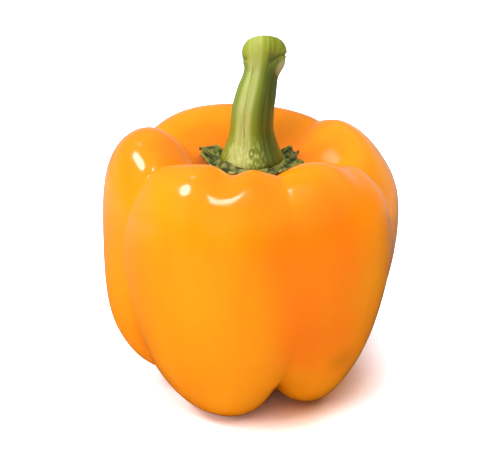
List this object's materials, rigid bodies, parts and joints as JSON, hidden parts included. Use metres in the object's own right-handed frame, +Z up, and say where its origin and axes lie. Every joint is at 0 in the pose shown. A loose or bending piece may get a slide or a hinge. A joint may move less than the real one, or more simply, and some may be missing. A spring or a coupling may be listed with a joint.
{
  "type": "bell pepper",
  "caption": "Ripe orange bell pepper as picked: a blocky lobed fruit that stands upright on its feet, with a dark dried calyx round a ribbed green stem.",
  "frame": {"origin": "bottom middle of the whole object's box, on the surface that the pepper stands on", "axes": "+Z up along the stem, -Y towards the side that faces the viewer in the picture, +X to that viewer's right"},
  "size_m": [0.0834, 0.0834, 0.1025],
  "materials": {
    "orange_skin": "waxy, smooth and glossy ripe orange skin with soft highlights",
    "dried_calyx": "dull dark green, wrinkled and half dried, with a paler thin edge",
    "green_stem": "satin yellow-green, ribbed along its length, with pale flecks on the flared foot"
  },
  "bodies": {
    "root": {"fruit": "orange_skin", "calyx": "dried_calyx", "stem": "green_stem"}
  },
  "joints": []
}
